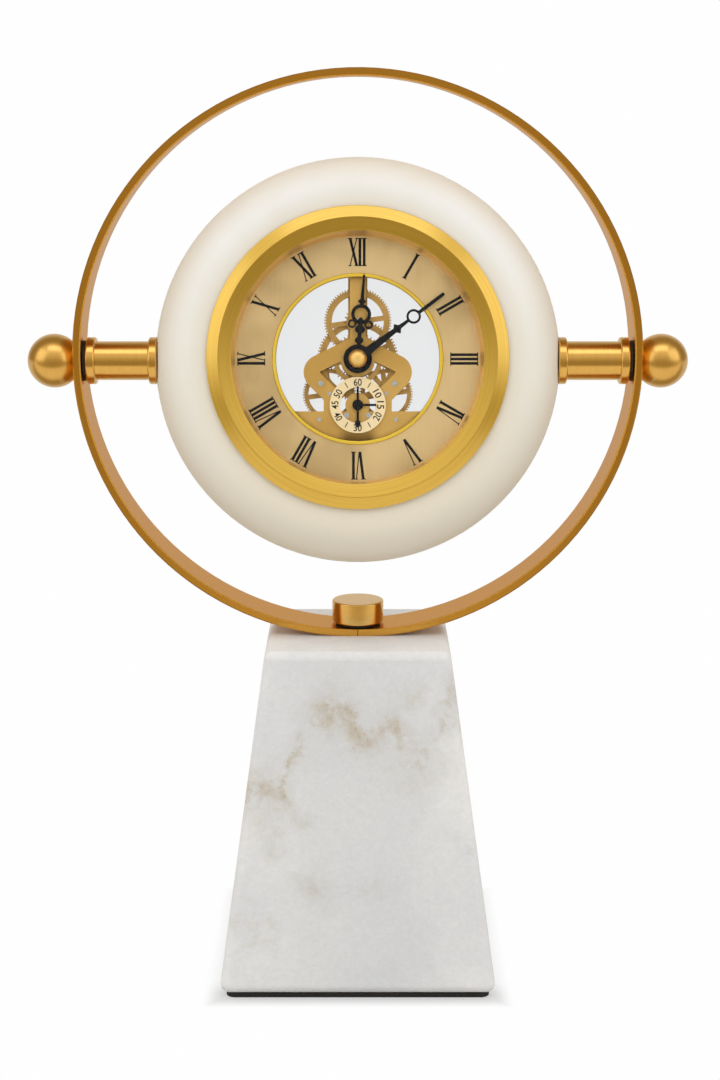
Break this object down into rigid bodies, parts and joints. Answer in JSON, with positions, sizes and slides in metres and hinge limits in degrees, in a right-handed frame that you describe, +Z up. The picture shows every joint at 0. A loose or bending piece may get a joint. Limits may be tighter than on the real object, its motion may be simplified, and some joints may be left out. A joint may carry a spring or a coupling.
{
  "type": "desk clock",
  "caption": "Desk clock: a stone disc with a see-through movement, ridged brass bezel and Roman dial tilts in a brass hoop with ball finials on a tapered marble base.",
  "frame": {"origin": "middle of the underside of the rubber pad", "axes": "+Z up, the dial faces -Y, +X to the reader's right along the tilt axis"},
  "size_m": [0.295, 0.1228, 0.4061],
  "materials": {
    "marble": "polished white marble with grey-tan clouds",
    "disc_stone": "honed cream alabaster-like stone",
    "satin_brass": "satin gold, lacquered",
    "polished_brass": "polished gold",
    "movement_brass": "brushed brass",
    "wheel_brass": "turned brass",
    "dial": "satin champagne",
    "black_paint": "semi-gloss black",
    "steel": "bright steel",
    "dark_washer": "matt black",
    "pad_rubber": "matt black",
    "glass": "clear",
    "clear_plastic": "clear acrylic",
    "housing_plastic": "black moulding",
    "board": "green laminate",
    "copper_wire": "enamelled copper",
    "cell_wrap": "plain wrapped cell",
    "magnet": "ferrite on steel",
    "bush_plastic": "natural nylon"
  },
  "bodies": {
    "stand": {"base_pad": "pad_rubber", "marble_base": "marble", "base_rod": "steel", "base_washer": "steel", "base_nut": "steel", "hoop": "satin_brass", "cap_washer": "dark_washer", "cap_nut": "polished_brass", "left_finial": "polished_brass", "left_washer": "dark_washer", "left_spindle": "polished_brass", "left_stud": "steel", "right_finial": "polished_brass", "right_washer": "dark_washer", "right_spindle": "polished_brass", "right_stud": "steel"},
    "clock_head": {"stone_disc": "disc_stone", "case_tube": "movement_brass", "glass_gasket": "dark_washer", "front_glass": "glass", "bezel": "polished_brass", "rehaut": "polished_brass", "dial_ring": "dial", "dial_rim": "polished_brass", "rear_ring": "polished_brass", "front_plate": "movement_brass", "back_plate": "movement_brass", "pillars": "movement_brass", "dial_posts": "movement_brass", "seconds_posts": "movement_brass", "seconds_dial": "dial", "plate_screws": "steel", "minute_wheel_stud": "steel", "motor_housing": "housing_plastic", "circuit_board": "board", "motor_coil": "copper_wire", "battery_holder": "housing_plastic", "battery": "cell_wrap", "battery_contacts": "steel", "left_bush": "bush_plastic", "right_bush": "bush_plastic"},
    "dust_cover": {"dust_cover": "clear_plastic"},
    "minute_train": {"centre_arbor": "steel", "centre_wheel": "wheel_brass", "cannon_pinion": "wheel_brass", "minute_hand": "black_paint", "hand_nut": "polished_brass", "setting_knob": "housing_plastic"},
    "hour_train": {"hour_wheel": "wheel_brass", "hour_hand": "black_paint"},
    "minute_wheel": {"minute_wheel": "wheel_brass"},
    "third_wheel": {"third_arbor": "steel", "third_wheel": "wheel_brass"},
    "drive_wheel": {"drive_arbor": "steel", "drive_wheel": "wheel_brass"},
    "seconds_train": {"seconds_arbor": "steel", "seconds_hand": "black_paint"},
    "motor_rotor": {"rotor": "magnet"}
  },
  "joints": [
    {"name": "head_tilt", "type": "hinge", "parent": "stand", "child": "clock_head", "pos_m": [0, 0, 0.27893], "axis": [1, 0, 0], "continuous": true},
    {"name": "cover_slide", "type": "slide", "parent": "clock_head", "child": "dust_cover", "axis": [0, 0.9848, -0.1736], "range_m": [0, 0.04]},
    {"name": "minute_turn", "type": "hinge", "parent": "clock_head", "child": "minute_train", "pos_m": [0, -0.00197, 0.27927], "axis": [0, 0.9848, -0.1736], "continuous": true},
    {"name": "hour_turn", "type": "hinge", "parent": "clock_head", "child": "hour_train", "pos_m": [0, -0.00492, 0.2798], "axis": [0, 0.9848, -0.1736], "continuous": true},
    {"name": "minute_wheel_turn", "type": "hinge", "parent": "clock_head", "child": "minute_wheel", "pos_m": [0, -0.00099, 0.29636], "axis": [0, 0.9848, -0.1736], "continuous": true},
    {"name": "third_turn", "type": "hinge", "parent": "clock_head", "child": "third_wheel", "pos_m": [0.0126, -0.00261, 0.26415], "axis": [0, 0.9848, -0.1736], "continuous": true},
    {"name": "drive_turn", "type": "hinge", "parent": "clock_head", "child": "drive_wheel", "pos_m": [-0.0126, -0.00261, 0.26415], "axis": [0, 0.9848, -0.1736], "continuous": true},
    {"name": "seconds_turn", "type": "hinge", "parent": "clock_head", "child": "seconds_train", "pos_m": [0, -0.00351, 0.25903], "axis": [0, 0.9848, -0.1736], "continuous": true},
    {"name": "rotor_turn", "type": "hinge", "parent": "clock_head", "child": "motor_rotor", "pos_m": [-0.0126, -0.00497, 0.25073], "axis": [0, 0.9848, -0.1736], "continuous": true}
  ],
  "couplings": [
    {"joint": "hour_turn", "follows": "minute_turn", "ratio": 0.083333},
    {"joint": "minute_wheel_turn", "follows": "minute_turn", "ratio": -0.16667},
    {"joint": "third_turn", "follows": "minute_turn", "ratio": -10},
    {"joint": "drive_turn", "follows": "minute_turn", "ratio": -10},
    {"joint": "seconds_turn", "follows": "minute_turn", "ratio": 60},
    {"joint": "rotor_turn", "follows": "minute_turn", "ratio": 60}
  ]
}
